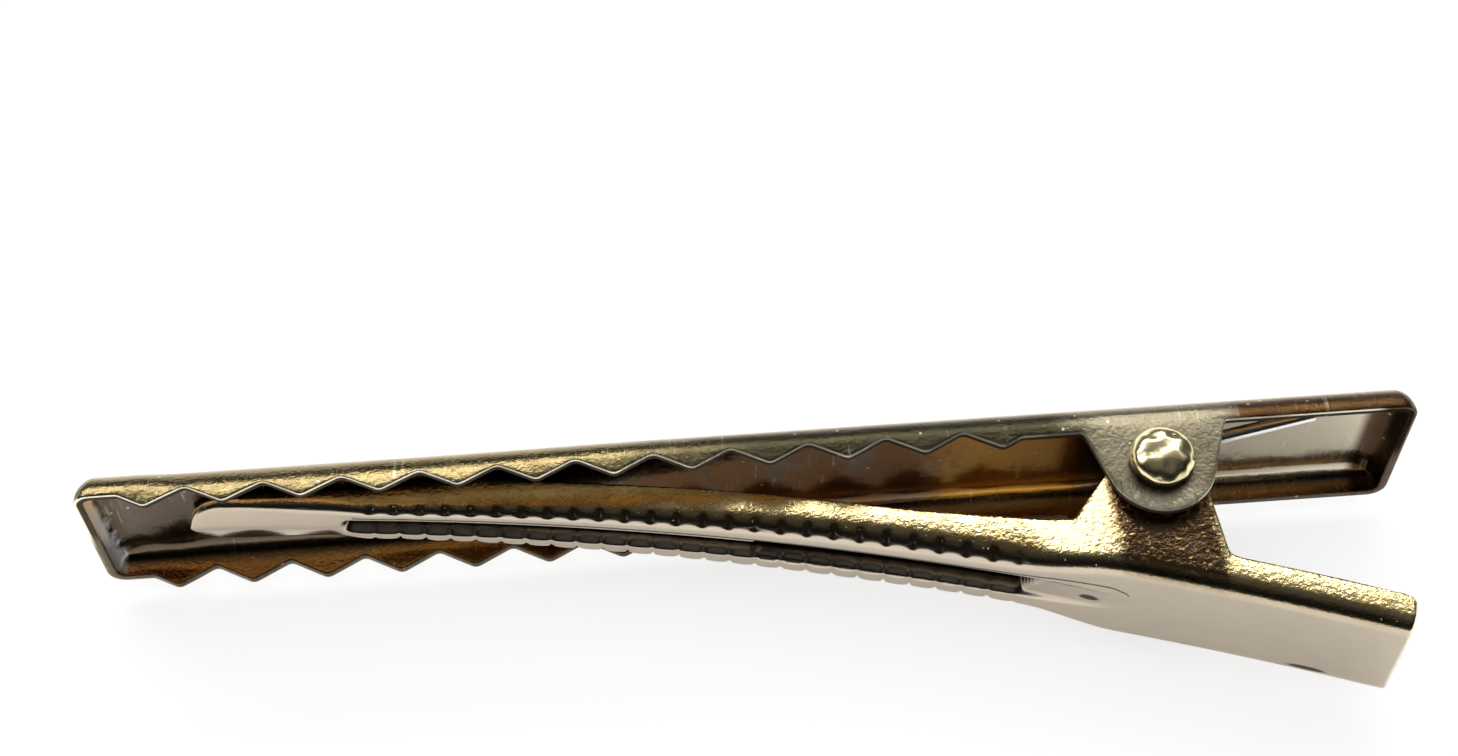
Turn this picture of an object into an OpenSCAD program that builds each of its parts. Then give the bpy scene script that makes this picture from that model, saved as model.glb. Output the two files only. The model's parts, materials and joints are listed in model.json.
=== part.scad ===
// Single-prong alligator hair clip, stamped from plated steel sheet: a toothed top plate,
// a lever that ends in a long prong, the rivet they turn on and the spring that shuts them.
// The clip lies on its side. X runs from the nose to the thumb end, Y points out of the
// ornament face and Z runs along the rivet. The origin is the middle of the ornament face.

/* [Top plate] */
// Length of the top plate
plate_l = 57; // [55:0.5:62]
// Width of the top plate over its flanges
plate_w = 7.5; // [7.3:0.1:9]
// Sheet thickness of the top plate
plate_t = 0.4; // [0.35:0.05:0.6]
// Outer radius of the rolled edges
edge_r = 1.4; // [1:0.05:1.6]
// Radius of the four corners, seen from the ornament face
corner_r = 0.8; // [0.7:0.1:1.3]
// Depth of the lip at the nose
nose_depth = 1.5; // [1.2:0.05:1.8]
// Depth of the flange and lip behind the ears
rear_depth = 1.5; // [1.2:0.05:1.8]

/* [Teeth] */
// Number of teeth on each flange
tooth_count = 12; // [6:1:12]
// Distance between two tooth tips
tooth_pitch = 3.28; // [2.5:0.02:3.3]
// Depth of the tooth tips below the ornament face
tooth_depth = 2.05; // [1.9:0.05:2.4]
// Depth of the valleys between the teeth
valley_depth = 1.3; // [1:0.05:1.45]
// Width of the blunt tip of a tooth
tooth_flat = 0.2; // [0.1:0.05:0.5]
// Distance from the nose to the first tooth tip
first_tooth = 3.1; // [2.6:0.05:3.6]

/* [Hinge] */
// Place of the rivet behind the middle of the plate
pivot_x = 17.1; // [16.8:0.1:18]
// Depth of the rivet below the ornament face
pivot_drop = 3.35; // [3.2:0.05:3.5]
// Radius of the round end of the plate's ears
ear_r = 2.3; // [2:0.05:2.6]
// Reach of an ear's foot ahead of and behind the rivet
ear_reach = 3.1; // [2.8:0.1:3.5]
// Diameter of the rivet's shank
pin_d = 1.8; // [1.4:0.1:2]
// Diameter of the rivet's heads
head_d = 2.7; // [2.2:0.1:3.2]
// Height of the rivet's heads
head_h = 1.05; // [0.6:0.05:1.3]
// Radial clearance of the lever's holes on the rivet
running_gap = 0.03; // [0.02:0.01:0.08]

/* [Lever] */
// Sheet thickness of the lever
lever_t = 0.4; // [0.3:0.05:0.45]
// Width of the thumb end over its side walls
thumb_w = 6.1; // [5.8:0.1:6.3]
// Height of the walls where they run into the ears
root_wall = 2.5; // [2.3:0.05:2.7]
// Height of the thumb plate's side walls
thumb_wall = 1.7; // [1.4:0.05:1.9]
// Outer radius of the folds along the lever
fold_r = 1.15; // [0.9:0.05:1.3]
// Depth of the lever's underside at the middle of the clip
mid_drop = 4.2; // [4.1:0.02:4.4]
// Slope of the underside there, in degrees
mid_slope = 11.25; // [10.75:0.05:11.75]
// Radius of the bow along the lever
bow_r = 157; // [145:1:175]
// Place of the thumb end behind the middle of the plate
thumb_end = 26.1; // [24:0.1:27]
// Radius of the rounded corners at the thumb end
thumb_corner_r = 0.8; // [0.4:0.1:1.2]
// Radius of the round top of the lever's ears
lever_ear_r = 1.75; // [1.6:0.05:2]
// Reach of a lever ear's foot ahead of the rivet
lever_ear_reach = 3.65; // [3.3:0.05:3.9]

/* [Prong] */
// Place of the prong's tip ahead of the middle of the plate
prong_tip = 24.2; // [23.6:0.1:25]
// Width of the round tip
tip_w = 3; // [2.8:0.1:3.4]
// Width of the narrow neck behind the tip
neck_w = 2.7; // [2.5:0.1:3]
// Width of the prong where it grows out of the lever
root_w = 4.3; // [4:0.1:4.8]
// Height of the prong's side walls
wall_h = 1.8; // [1.5:0.05:2.1]
// Outer radius of the folds at the neck
neck_fold_r = 0.65; // [0.5:0.05:0.8]
// Gap between the prong's walls and the plate when the clip is shut
closed_gap = 0.1; // [0.05:0.01:0.2]

/* [Groove and flutes] */
// Depth of the stiffening groove at its front end
groove_depth = 0.6; // [0.3:0.05:0.7]
// Depth of the stiffening groove at its rear end
groove_depth_rear = 0.85; // [0.4:0.05:0.9]
// Width of the groove at its front end
groove_w = 1.45; // [1:0.05:1.5]
// Width of the groove at its rear end
groove_w_rear = 2.1; // [1.6:0.05:2.4]
// Distance between two flutes on the folds
flute_pitch = 1.09; // [0.9:0.01:1.4]
// Depth of a flute
flute_depth = 0.1; // [0.05:0.01:0.15]

/* [Spring] */
// Diameter of the spring wire
wire_d = 0.6; // [0.4:0.05:0.7]
// Whole turns of the coil
coil_turns = 4; // [2:1:4]
// Place of the plate leg's end behind the rivet
plate_leg = 7.2; // [6:0.1:8.5]
// Place of the lever leg's end behind the rivet
lever_leg = 6.4; // [5:0.1:7]

/* [Hidden] */
$fn = 48;
gold = "#c8a860";
pale_gold = "#d2bd8a";
steel = "#c9ccd0";
cut = 0.5;
pivot = [pivot_x, -pivot_drop];
plate_underside = -plate_t;
shell_depth = pivot_drop + ear_r + cut;

// Flange behind the last tooth, half way between a tip and a valley
plain_depth = (tooth_depth + valley_depth) / 2;
nose_x = -plate_l / 2;
first_tip = nose_x + first_tooth;
last_tip = first_tip + (tooth_count - 1) * tooth_pitch;
// Slope of the tooth sides, as run per depth
tooth_run = (tooth_pitch / 2 - tooth_flat) / (tooth_depth - valley_depth);
// How far an ear's foot is let into the flange it grows from
ear_root = 0.3;

// Round tip of the prong, a shallow spoon ahead of the walls
tip_r = tip_w / 2;
tip_x = tip_r - prong_tip;
tip_round = 0.3;
spoon_rim = lever_t + 0.1;
// The tip's last section, as an angle round the tip
tip_angle = 84;
wall_front = [tip_x + 0.7, tip_x + 1.4];
// Where the walls start to grow toward the ears
wall_rise = 5;
neck_x = -17.5;
root_x = 7;
shoulder = [11, 15.2];
// Size of the stepped blend where an ear runs into its wall
ear_blend = 0.15;
least_bend = 0.05;
// Most of a section's half width that a fold or a wall takes up
fold_share = 0.9;
wall_share = 0.5;

groove_x = [-17.2, 11];
groove_draft = 0.12;
// The groove fades out into the thumb plate
fade_end = 15.6;
fade_depth = 0.22;
least_fade = 0.01;
blunt_fade = 0.02;
flute_r = 0.2;
flute_x = [-16.4, 10.8];
// Place of the flutes round the fold, from its underside
flute_angle = 30;

// Facets: spacing of the sections along the lever, and points round a fold and a wire
long_step = 2.6;
short_step = 0.7;
tip_step = 12;
fold_steps = 4;
wire_sides = 8;
turn_steps = 16;

// Height of a rivet head's upright rim, as a share of the head
rim_share = 0.45;
leg_gap = 0.02;
coil_gap = 0.03;

function unit(v) = v / norm(v);
function smooth(t) = t * t * (3 - 2 * t);
function ease(a, b, x0, x1, x) = a + (b - a) * smooth(max(0, min(1, (x - x0) / (x1 - x0))));
function polar(c, r, a) = c + r * [cos(a), sin(a)];

// Point where the line from p touches a circle, on its left (side 1) or right (side -1) seen from p
function touch(p, c, r, side) =
    let (a = atan2(p.y - c.y, p.x - c.x), b = acos(r / norm(p - c)))
    polar(c, r, a - side * b);

// Solid through a list of rings that all have the same, even number of points. The two halves
// of a ring run side by side, so each end is closed by a strip between them.
module loft(rings) {
    n = len(rings[0]);
    last = (len(rings) - 1) * n;
    sides = [for (i = [0:len(rings) - 2], j = [0:n - 1])
        let (a = i * n + j, b = i * n + (j + 1) % n)
        each [[a, b, b + n], [a, b + n, a + n]]];
    strip = [for (i = [0:n / 2 - 2]) each [[i, n - 2 - i, i + 1], [i, n - 1 - i, n - 2 - i]]];
    back = [for (t = strip) [last + t[0], last + t[2], last + t[1]]];
    polyhedron([for (ring = rings) each ring], [each sides, each strip, each back], convexity = 8);
}

// Side view of an ear: a round end on the rivet, reached anticlockwise from p and left for q
module ear_outline(p, q, r) {
    polygon([p, touch(p, pivot, r, -1), pivot, touch(q, pivot, r, 1), q]);
    translate(pivot) circle(r);
}

module along_z(from, to) {
    translate([0, 0, from]) linear_extrude(to - from) children();
}

// Top plate

// Upright profile of a tray, hanging from y = top with rounded upper edges
module tray_profile(w, top, r) {
    translate([-w / 2, -shell_depth]) square([w, shell_depth + top - r]);
    translate([r - w / 2, top - r - cut / 2]) square([w - 2 * r, r + cut / 2]);
    for (side = [-1, 1]) {
        translate([side * (w / 2 - r), top - r]) circle(r);
    }
}

// Tray that lies inset inside the plate's outer surface
module tray(inset) {
    l = plate_l - 2 * inset;
    w = plate_w - 2 * inset;
    r = edge_r - inset;
    corner = corner_r - inset;
    intersection() {
        along_z(-w / 2, w / 2) tray_profile(l, -inset, r);
        rotate([0, 90, 0]) along_z(-l / 2, l / 2) tray_profile(w, -inset, r);
        rotate([-90, 0, 0]) along_z(-shell_depth, shell_depth) {
            square([l - 2 * corner, w], center = true);
            square([l, w - 2 * corner], center = true);
            for (sx = [-1, 1], sz = [-1, 1]) {
                translate([sx * (l / 2 - corner), sz * (w / 2 - corner)]) circle(corner);
            }
        }
    }
}

// Blunt end of a tooth or of a valley at x
function blunt(x, depth) = [[x - tooth_flat / 2, -depth], [x + tooth_flat / 2, -depth]];

// Side view of the plate: lips, teeth and the plain flange before the ears
module plate_outline() {
    flat = tooth_flat / 2;
    row = [for (i = [0:tooth_count - 1]) let (x = first_tip + i * tooth_pitch) each [
        each blunt(x, tooth_depth),
        if (i < tooth_count - 1) each blunt(x + tooth_pitch / 2, valley_depth)
    ]];
    polygon([
        [nose_x, cut],
        [nose_x, -nose_depth],
        [first_tip - flat - tooth_run * (tooth_depth - nose_depth), -nose_depth],
        each row,
        [last_tip + flat + tooth_run * (tooth_depth - plain_depth), -plain_depth],
        [pivot_x, -plain_depth],
        [pivot_x, -rear_depth],
        [plate_l / 2, -rear_depth],
        [plate_l / 2, cut]
    ]);
    front = [pivot_x - ear_reach, ear_root - plain_depth];
    rear = [pivot_x + ear_reach, ear_root - rear_depth];
    ear_outline(front, rear, ear_r);
}

module top_plate() {
    color(gold) difference() {
        intersection() {
            difference() {
                tray(0);
                tray(plate_t);
            }
            along_z(-plate_w, plate_w) plate_outline();
        }
        translate(pivot) cylinder(d = pin_d, h = 2 * plate_w, center = true);
    }
}

// Lever

// Height and slope of the lever's underside
function spine(x) = -mid_drop - x * tan(mid_slope) - x * x / (2 * bow_r);
function lean(x) = atan(tan(mid_slope) + x / bow_r);
// Place of a point that is v inside the underside and z off the middle, square to the bow at x
function on_lever(x, z, v) = [x + v * sin(lean(x)), spine(x) + v * cos(lean(x)), z];

module at_lever(x, z, v) {
    translate(on_lever(x, z, v)) rotate([0, 0, -lean(x)]) rotate([-90, 0, 0]) children();
}

function lever_half(x) =
    x < tip_x ? sqrt(tip_r * tip_r - (x - tip_x) * (x - tip_x))
    : x < neck_x ? ease(tip_w, neck_w, tip_x, neck_x, x) / 2
    : x < root_x ? ease(neck_w, root_w, neck_x, root_x, x) / 2
    : ease(root_w, thumb_w, shoulder[0], shoulder[1], x) / 2;
function fold_at(x) =
    x < neck_x ? ease(tip_round, neck_fold_r, tip_x, neck_x, x)
    : ease(neck_fold_r, fold_r, neck_x, root_x, x);
function wall_at(x) =
    x < wall_rise ? ease(spoon_rim, wall_h, wall_front[0], wall_front[1], x)
    : x < pivot_x ? ease(wall_h, root_wall, wall_rise, shoulder[1], x)
    : ease(root_wall, thumb_wall, pivot_x, pivot_x + ear_r, x);

function bend(z, v, r, a0, a1) = [for (i = [0:fold_steps])
    let (a = a0 + (a1 - a0) * i / fold_steps)
    [z + r * cos(a), v + r * sin(a)]];

// Folded channel section, as [z, v] points
function channel(h, fold, wall) =
    let (
        r = min(fold, fold_share * h),
        t = min(lever_t, wall_share * h),
        ri = max(least_bend, r - lever_t),
        zi = h - t - ri,
        vi = lever_t + ri
    )
    [
        [-h, wall], each bend(r - h, r, r, 180, 270), each bend(h - r, r, r, 270, 360), [h, wall],
        [h - t, wall], each bend(zi, vi, ri, 360, 270), each bend(-zi, vi, ri, 270, 180), [t - h, wall]
    ];

function stations(x0, x1, step) =
    let (n = ceil((x1 - x0) / step))
    [for (i = [0:n]) x0 + (x1 - x0) * i / n];

module channel_body() {
    places = [
        for (a = [tip_angle:-tip_step:tip_step]) tip_x - tip_r * sin(a),
        each stations(tip_x, neck_x, short_step / 2),
        each stations(neck_x + long_step, shoulder[0], long_step),
        each stations(shoulder[0] + short_step, shoulder[1], short_step),
        each stations(shoulder[1] + long_step, thumb_end, long_step)
    ];
    loft([for (x = places)
        [for (p = channel(lever_half(x), fold_at(x), wall_at(x))) on_lever(x, p[0], p[1])]]);
}

function groove_along(x) = (x - groove_x[0]) / (groove_x[1] - groove_x[0]);
function groove_half(x) = (groove_w + (groove_w_rear - groove_w) * groove_along(x)) / 2;
function groove_deep(x) = groove_depth + (groove_depth_rear - groove_depth) * groove_along(x);

// Section of a groove that narrows from half width top at v = mouth to floor at v = deep
function groove_ring(x, mouth, deep, top, floor) =
    [on_lever(x, -top, mouth), on_lever(x, top, mouth), on_lever(x, floor, deep), on_lever(x, -floor, deep)];

// Pressed groove from its floor out to v = mouth, grown by the sheet thickness for the bead inside
module groove(grow, mouth) {
    front = groove_x[0] - grow;
    loft([for (x = stations(front, groove_x[1] + grow, long_step))
        let (top = groove_half(x) + grow)
        groove_ring(x, mouth, groove_deep(x) + grow, top, top - groove_draft)]);
    at_lever(front, 0, mouth)
        cylinder(r = groove_half(front) + grow - groove_draft, h = groove_deep(front) + grow - mouth);
}

// Shallow end of the groove, rising from fade_depth to nothing behind the shoulder
module groove_fade() {
    start = groove_x[1];
    loft([for (x = stations(start - groove_draft, fade_end, short_step))
        let (
            t = (x - start) / (fade_end - start),
            half = groove_w_rear / 2 * sqrt(max(blunt_fade, 1 - t * t * t)),
            deep = max(least_fade, fade_depth * (1 - t))
        )
        groove_ring(x, -cut, deep, half, half - deep)]);
}

// Creases pressed across both folds of the prong
module flutes() {
    reach = flute_r - flute_depth;
    for (x = [flute_x[0]:flute_pitch:flute_x[1]], side = [-1, 1]) {
        r = fold_at(x);
        z = lever_half(x) - r + (r + reach) * sin(flute_angle);
        v = r - (r + reach) * cos(flute_angle);
        translate(on_lever(x, side * z, v)) rotate([0, 0, -lean(x)]) rotate([-side * flute_angle, 0, 0])
            cylinder(r = flute_r, h = 2 * fold_r, center = true);
    }
}

// Ears that stand up from the side walls on either side of the spring
module lever_ears() {
    front = pivot_x - lever_ear_reach;
    rear = pivot_x + ear_r;
    foot = [front, spine(front) + wall_at(front) + ear_blend];
    heel = [rear, spine(rear) + wall_at(rear) + ear_blend];
    for (z = [-thumb_w / 2, thumb_w / 2 - lever_t]) {
        along_z(z, z + lever_t) {
            ear_outline(heel, foot, lever_ear_r);
            polygon([
                pivot,
                foot,
                [front, spine(front) + fold_r],
                [rear + ear_blend, spine(rear + ear_blend) + fold_r],
                [rear + ear_blend, heel.y - ear_blend],
                heel
            ]);
        }
    }
}

// What is cut away to round the corners of the thumb end
module thumb_corners() {
    r = thumb_corner_r;
    for (side = [-1, 1]) {
        at_lever(thumb_end, side * (thumb_w / 2 - r), 0) difference() {
            translate([-r, side > 0 ? -2 * r : 0, -cut]) cube([2 * r, 2 * r, thumb_wall + 2 * cut]);
            translate([-r, 0, -2 * cut]) cylinder(r = r, h = thumb_wall + 4 * cut);
        }
    }
}

// Room that the prong's walls leave for the plate
module plate_room() {
    translate([nose_x, plate_underside - closed_gap, -plate_w / 2]) cube([plate_l / 2, wall_h, plate_w]);
}

module lever() {
    color(pale_gold) difference() {
        union() {
            channel_body();
            groove(lever_t, lever_t / 2);
            lever_ears();
        }
        plate_room();
        groove(0, -cut);
        groove_fade();
        flutes();
        thumb_corners();
        translate(pivot) cylinder(d = pin_d + 2 * running_gap, h = 2 * plate_w, center = true);
    }
}

// Rivet

module rivet_head() {
    rise = head_h * (1 - rim_share);
    dome_r = (head_d * head_d / 4 + rise * rise) / (2 * rise);
    intersection() {
        cylinder(d = head_d, h = head_h);
        translate([0, 0, head_h - dome_r]) sphere(dome_r);
    }
}

module hinge_pin() {
    color(gold) translate(pivot) {
        cylinder(d = pin_d, h = plate_w, center = true);
        translate([0, 0, plate_w / 2]) rivet_head();
        translate([0, 0, -plate_w / 2]) mirror([0, 0, 1]) rivet_head();
    }
}

// Spring

coil_r = pin_d / 2 + running_gap + wire_d / 2;
coil_step = wire_d + coil_gap;
plate_leg_end = [pivot_x + plate_leg, plate_underside - leg_gap - wire_d / 2];
lever_leg_x = pivot_x + lever_leg;
lever_leg_end = [lever_leg_x, spine(lever_leg_x) + (lever_t + leg_gap + wire_d / 2) / cos(lean(lever_leg_x))];
function angle_of(p) = atan2(p.y - pivot.y, p.x - pivot.x);
coil_a0 = angle_of(touch(plate_leg_end, pivot, coil_r, -1));
coil_a1 = angle_of(touch(lever_leg_end, pivot, coil_r, 1)) + 360 * (coil_turns + 1);
coil_z0 = thumb_w / 2 - lever_t - wire_d / 2 - 2 * coil_gap;

function coil_z(a) = coil_z0 - coil_step * (a - coil_a0) / 360;
function flat_at(p, z) = [p.x, p.y, z];

// Centre line of the wire: the plate's leg, the coil and the lever's leg
function wire_path() =
    let (n = round((coil_a1 - coil_a0) / 360 * turn_steps))
    [
        flat_at(plate_leg_end, coil_z(coil_a0)),
        for (i = [0:n])
            let (a = coil_a0 + (coil_a1 - coil_a0) * i / n)
            flat_at(polar(pivot, coil_r, a), coil_z(a)),
        flat_at(lever_leg_end, coil_z(coil_a1))
    ];

module torsion_spring() {
    path = wire_path();
    last = len(path) - 1;
    color(steel) loft([for (i = [0:last])
        let (
            run = unit(path[min(i + 1, last)] - path[max(i - 1, 0)]),
            side = unit(cross(run, [0, 0, 1])),
            up = cross(side, run)
        )
        [for (k = [0:wire_sides - 1]) let (a = 360 * k / wire_sides)
            path[i] + wire_d / 2 * (cos(a) * side + sin(a) * up)]]);
}

top_plate();
lever();
hinge_pin();
torsion_spring();
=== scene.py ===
import json
import math

import bmesh
import bpy
import numpy as np
from mathutils import Matrix, Vector


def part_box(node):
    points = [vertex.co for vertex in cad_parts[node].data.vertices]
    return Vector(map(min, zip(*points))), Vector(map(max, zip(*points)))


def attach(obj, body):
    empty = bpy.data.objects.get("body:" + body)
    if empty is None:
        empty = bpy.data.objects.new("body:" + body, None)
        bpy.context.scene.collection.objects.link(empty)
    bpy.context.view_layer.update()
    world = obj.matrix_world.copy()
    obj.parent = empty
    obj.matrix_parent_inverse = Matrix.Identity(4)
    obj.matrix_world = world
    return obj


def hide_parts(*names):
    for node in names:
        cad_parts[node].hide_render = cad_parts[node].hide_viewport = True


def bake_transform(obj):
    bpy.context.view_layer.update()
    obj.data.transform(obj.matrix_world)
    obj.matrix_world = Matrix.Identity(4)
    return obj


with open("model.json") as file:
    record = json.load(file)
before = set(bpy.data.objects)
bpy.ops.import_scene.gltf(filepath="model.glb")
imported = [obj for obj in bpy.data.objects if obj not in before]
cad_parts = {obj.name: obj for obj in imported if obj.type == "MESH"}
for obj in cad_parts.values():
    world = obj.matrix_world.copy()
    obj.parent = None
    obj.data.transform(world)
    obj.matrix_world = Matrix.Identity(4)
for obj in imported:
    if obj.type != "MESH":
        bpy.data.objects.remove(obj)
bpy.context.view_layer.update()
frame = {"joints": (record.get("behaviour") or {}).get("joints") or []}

# Sizes are in millimetres, in the part's own frame: X runs from the nose to the thumb end,
# Y points out of the ornament face and Z runs along the rivet.
MM = 0.001
PLATE_LOW, PLATE_HIGH = (np.array(corner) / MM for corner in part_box("top_plate"))
PIN_LOW, PIN_HIGH = (np.array(corner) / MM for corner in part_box("hinge_pin"))
PIVOT = np.array(frame["joints"][0]["pos_m"][:2]) / MM

# Top plate
PLATE_T = 0.4
EDGE_R = 1.4
FLAT_MARGIN = 0.3
CORNER_R = 0.8
LIP_DEPTH = 1.5
TOOTH_COUNT = 12
TOOTH_PITCH = 3.28
TOOTH_DEPTH = 2.05
VALLEY_DEPTH = 1.3
TOOTH_FLAT = 0.2
FIRST_TOOTH = 3.1
PLAIN_DEPTH = (TOOTH_DEPTH + VALLEY_DEPTH) / 2
EAR_R = 2.3
EAR_REACH = 3.1
EAR_ROOT = 0.3

# Lever and prong
LEVER_T = 0.4
THUMB_W = 6.1
THUMB_END = 26.1
THUMB_CORNER_R = 0.5
WALL_H = 1.8
WALL_RISE = 5
WALL_LEAN = 0.1
ROOT_WALL = 2.5
THUMB_WALL = 1.7
FOLD_R = 0.88
THUMB_FOLD_R = 0.75
NECK_FOLD_R = 0.5
FOLD_SHARE = 0.9
LEAST_R = 0.05
MID_DROP = 4.2
MID_SLOPE = math.tan(math.radians(11.25))
BOW_R = 157
LEVER_EAR_R = 1.75
LEVER_EAR_REACH = 3.65
EAR_BLEND = 0.15
TIP_R = 1.5
TIP_X = TIP_R - 24.2
TIP_FOLD_R = 0.3
SPOON_RIM = 0.5
SPOON_SLOPE = 0.23
SPOON_RIDGE = 0.25
SPOON_FADE = (-18.5, -16.5)
WALL_FRONT = (TIP_X + 0.7, TIP_X + 1.4)
NECK_X = -17.5
NECK_W = 2.7
ROOT_X = 7
ROOT_W = 4.3
SHOULDER = (11, 15.2)
CLOSED_GAP = 0.1

# Groove and flutes of the prong
GROOVE_X = (-17.2, 11)
GROOVE_HALF = (0.58, 0.84)
GROOVE_DEEP = (0.6, 0.85)
GROOVE_DRAFT = 0.42
GROOVE_SLANT = 0.7
RIM_SHARE = 0.55
RIM_BAND = 0.24
RIM_BAND_SHARE = 0.4
FADE_END = 15.6
FADE_DEPTH = 0.22
FLUTE_X = (-16.4, 10.8)
FLUTE_PITCH = 1.09
FLUTE_DEPTH = 0.1
FLUTE_HALF = 0.11
PILLOW_DEPTH = 0.05

# Shares of a drafted side that lie outside the outline of the groove, of its end and of its shallow fade
SIDE_DRAFT = 0.1
END_DRAFT = 0.5
FADE_DRAFT = 0.25

# Angles up round the fold between which each rail has its flutes: on the far rail they also cross the floor
FLUTE_FOOT = {"near": math.radians(18), "far": -math.pi}
FLUTE_TOP = math.radians(80)
FLUTE_BLEND = math.radians(20)

# Pressed line along the groove's rim, as places along and across the lever, and the
# dents by its end and near the edge of the thumb plate, with their half lengths and widths; both are also
# darkened as painted shade
RIM_LINE = ((-17.2, 0.72), (2.0, 0.93), (11.0, 1.02), (13.2, 1.2), (14.4, 1.22), (15.0, 1.05), (15.4, 0.7))
RIM_SPAN = 2.0
LINE_HALF = 0.1
LINE_DEPTH = 0.02
DENTS = ((13.85, -0.1, 0.5, 0.24), (22.9, -2.25, 0.95, 0.2))

# Zones of the plate's colour, each as the place along it where the zone starts and where it is full; the pale
# inner zone among them is painted light
PLATE_SPANS = {"Satin": (-9, 1), "Ear": (12.5, 15), "Clear": (11, 21), "Rear": (20, 21), "Lip": (26.6, 27.2)}
EAR_RIM = (-4.0, -5.3)
# Near side of the inner face that is also painted paler, as painted light for its reflection in the lever's
# wall
SHELTER_Z = (1.7, 2.3)
# The plate's near side, where its inner flank takes a lit colour, a painted light, and where its edge wear
# shows
HANDLED_Z = (-1, 1)
PLATE_MOTTLE = 2600.0
# Strength of the painted shade along the inner fold of the rolled edge
FOLD_SHADE = 3.6

# Burnished nose inside the plate, with a slanted and ragged rear end
NOSE_REACH = PLATE_LOW[0] + 0.75
NOSE_SLANT = 0.06
NOSE_RAGGED = 0.7
NOSE_BAND = (0.3, 0.7)
NOSE_EDGE = (0.1, 0.25)

# Painted reflections of the teeth inside the plate: brown spots opposite the gaps between the teeth, and
# orange-brown spread in front of the ears
STAIN_Z = -0.6
STAIN_PHASE = 0.6
STAIN_ACROSS = 0.6
STAIN_SCALE = 620.0
STAIN_SPREAD = 3.6
STAIN_BAND = (3.8, 2.7)
AMBER_RAGGED = 3
AMBER_START = (8, 12)
STAIN_ENDS = ((-8, -4), (16, 14))

# Painted shade at the foot of the lever's walls, below their cut edges, lessened at the bright front of its
# ears, and the painted shadow on the ears
WALL_SHADE = (0.6, 1.5, 0.8)
EAR_BRIGHT = ((11.5, 13.0), (15.8, 14.8))
BRIGHT_SHARE = 0.85
LEVER_MOTTLE = 3200.0
LEVER_RAGGED = 0.6
# Painted shadow on the lever's ears under the plate's ears: its mottled band, its ends along the lever, and
# how much edge wear it hides
TARNISH_BAND = (0.35, 0.44, 0.95)
TARNISH_ENDS = ((15.0, 15.5), (19.7, 19.2))
TARNISH_HIDES = 0.8
# How dark the painted shade in the groove grows with its depth
PIT_DARK = 0.985

# Rivet, with its head's lathed profile and its hammer dents
SHANK_R = 0.9
SHANK_SIDES = 64
HEAD_R = 1.35
HEAD_RIM = 0.47
HEAD_FOOT = 0.3
HEAD_BEVEL = 0.06
HEAD_SIDE = (HEAD_BEVEL, 0.2, HEAD_RIM * 0.8)
DOME_TURN = (1.5, 0.02)
DOME_ROWS = 24
DOME_POWERS = (3, 0.6)
PEEN_DEPTH = 0.12
PEEN_SCALE = 1.9
PEEN_SMOOTHNESS = 0.6
PEEN_LEVEL = 0.5
PEEN_SEED = 3.0
# Heights above the ears where the painted shade at the heads' foot starts and where it is full
COLLAR = (0.55, 0.2)

# Spring
WIRE_R = 0.3
WIRE_SIDES = 20
COIL_GAP = 0.03
COIL_R = SHANK_R + COIL_GAP + WIRE_R
COIL_STEP = 0.63
COIL_TURNS = 4
COIL_POINTS = 64
PLATE_LEG = 7.2
LEVER_LEG = 6.4
LEG_GAP = 0.02

# Flanges that spread toward their teeth behind the nose, and where along the plate they do
FLANGE_LEAN = 0.11
LEAN_X = (-26, -24, -14, -4)

# Rounding of the cut sheet edges
PLATE_EDGE_ROUND = 0.07
LEVER_EDGE_ROUND = 0.17
OUTLINE_EASE = 0.09

# Rows and stations of the meshes
MERGE_GAP = 0.002
LEAST_EDGE = 0.001
EASE_STEPS = 7
SOLVE_STEPS = 12
EDGE_ROWS = 5
EDGE_TURN = np.radians(np.linspace(0, 90, EDGE_ROWS))
ROLL_END = 72
ROLL_ROWS = 15
FLANGE_ROWS = 6
SIDE_ROWS = 8
BEND = (85, 65)
BEND_ROWS = 4
FLOOR_ROWS = (12, 14, 6)
TIP_TURN = 88
TIP_STATIONS = 20
PRONG_STEP = 0.1
THUMB_STEP = 0.12

# What counts as flank for the finish: the plate's rolled edge, and the lever's walls, fading over its folds
FLANK_START = math.radians(35)
FLANK_BLEND = math.radians(30)
WALL_ROWS = EDGE_ROWS + SIDE_ROWS
FOLD_ROWS = 7


def smooth(t):
    t = np.clip(t, 0, 1)
    return t * t * (3 - 2 * t)


def ease(a, b, x0, x1, x):
    return a + (b - a) * smooth((x - x0) / (x1 - x0))


def eased(profile, x):
    """A profile along the clip with its sharp corners rounded off."""
    shifts = np.linspace(-OUTLINE_EASE, OUTLINE_EASE, EASE_STEPS)
    return np.mean([profile(x + shift) for shift in shifts], 0)


def steps(start, end, count):
    """Even steps from start to end, without the start itself."""
    return np.linspace(start, end, count + 1)[1:]


def part_way(ends, share):
    return ends[0] + (ends[1] - ends[0]) * share


def ear_line(start, finish, r, points=40):
    """Outline of an ear, anticlockwise from start round the rivet to finish."""
    ends = []
    for point, side in ((start, 1), (finish, -1)):
        away = np.subtract(point, PIVOT)
        ends.append(math.atan2(away[1], away[0]) + side * math.acos(r / np.hypot(*away)))
    angles = ends[0] + (ends[1] - ends[0]) % (2 * math.pi) * np.linspace(0, 1, points)
    arc = PIVOT + r * np.stack([np.cos(angles), np.sin(angles)], -1)
    return np.vstack([start, arc, finish])


def new_object(name, data):
    made = bpy.data.objects.new(name, data)
    bpy.context.scene.collection.objects.link(made)
    return made


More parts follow.
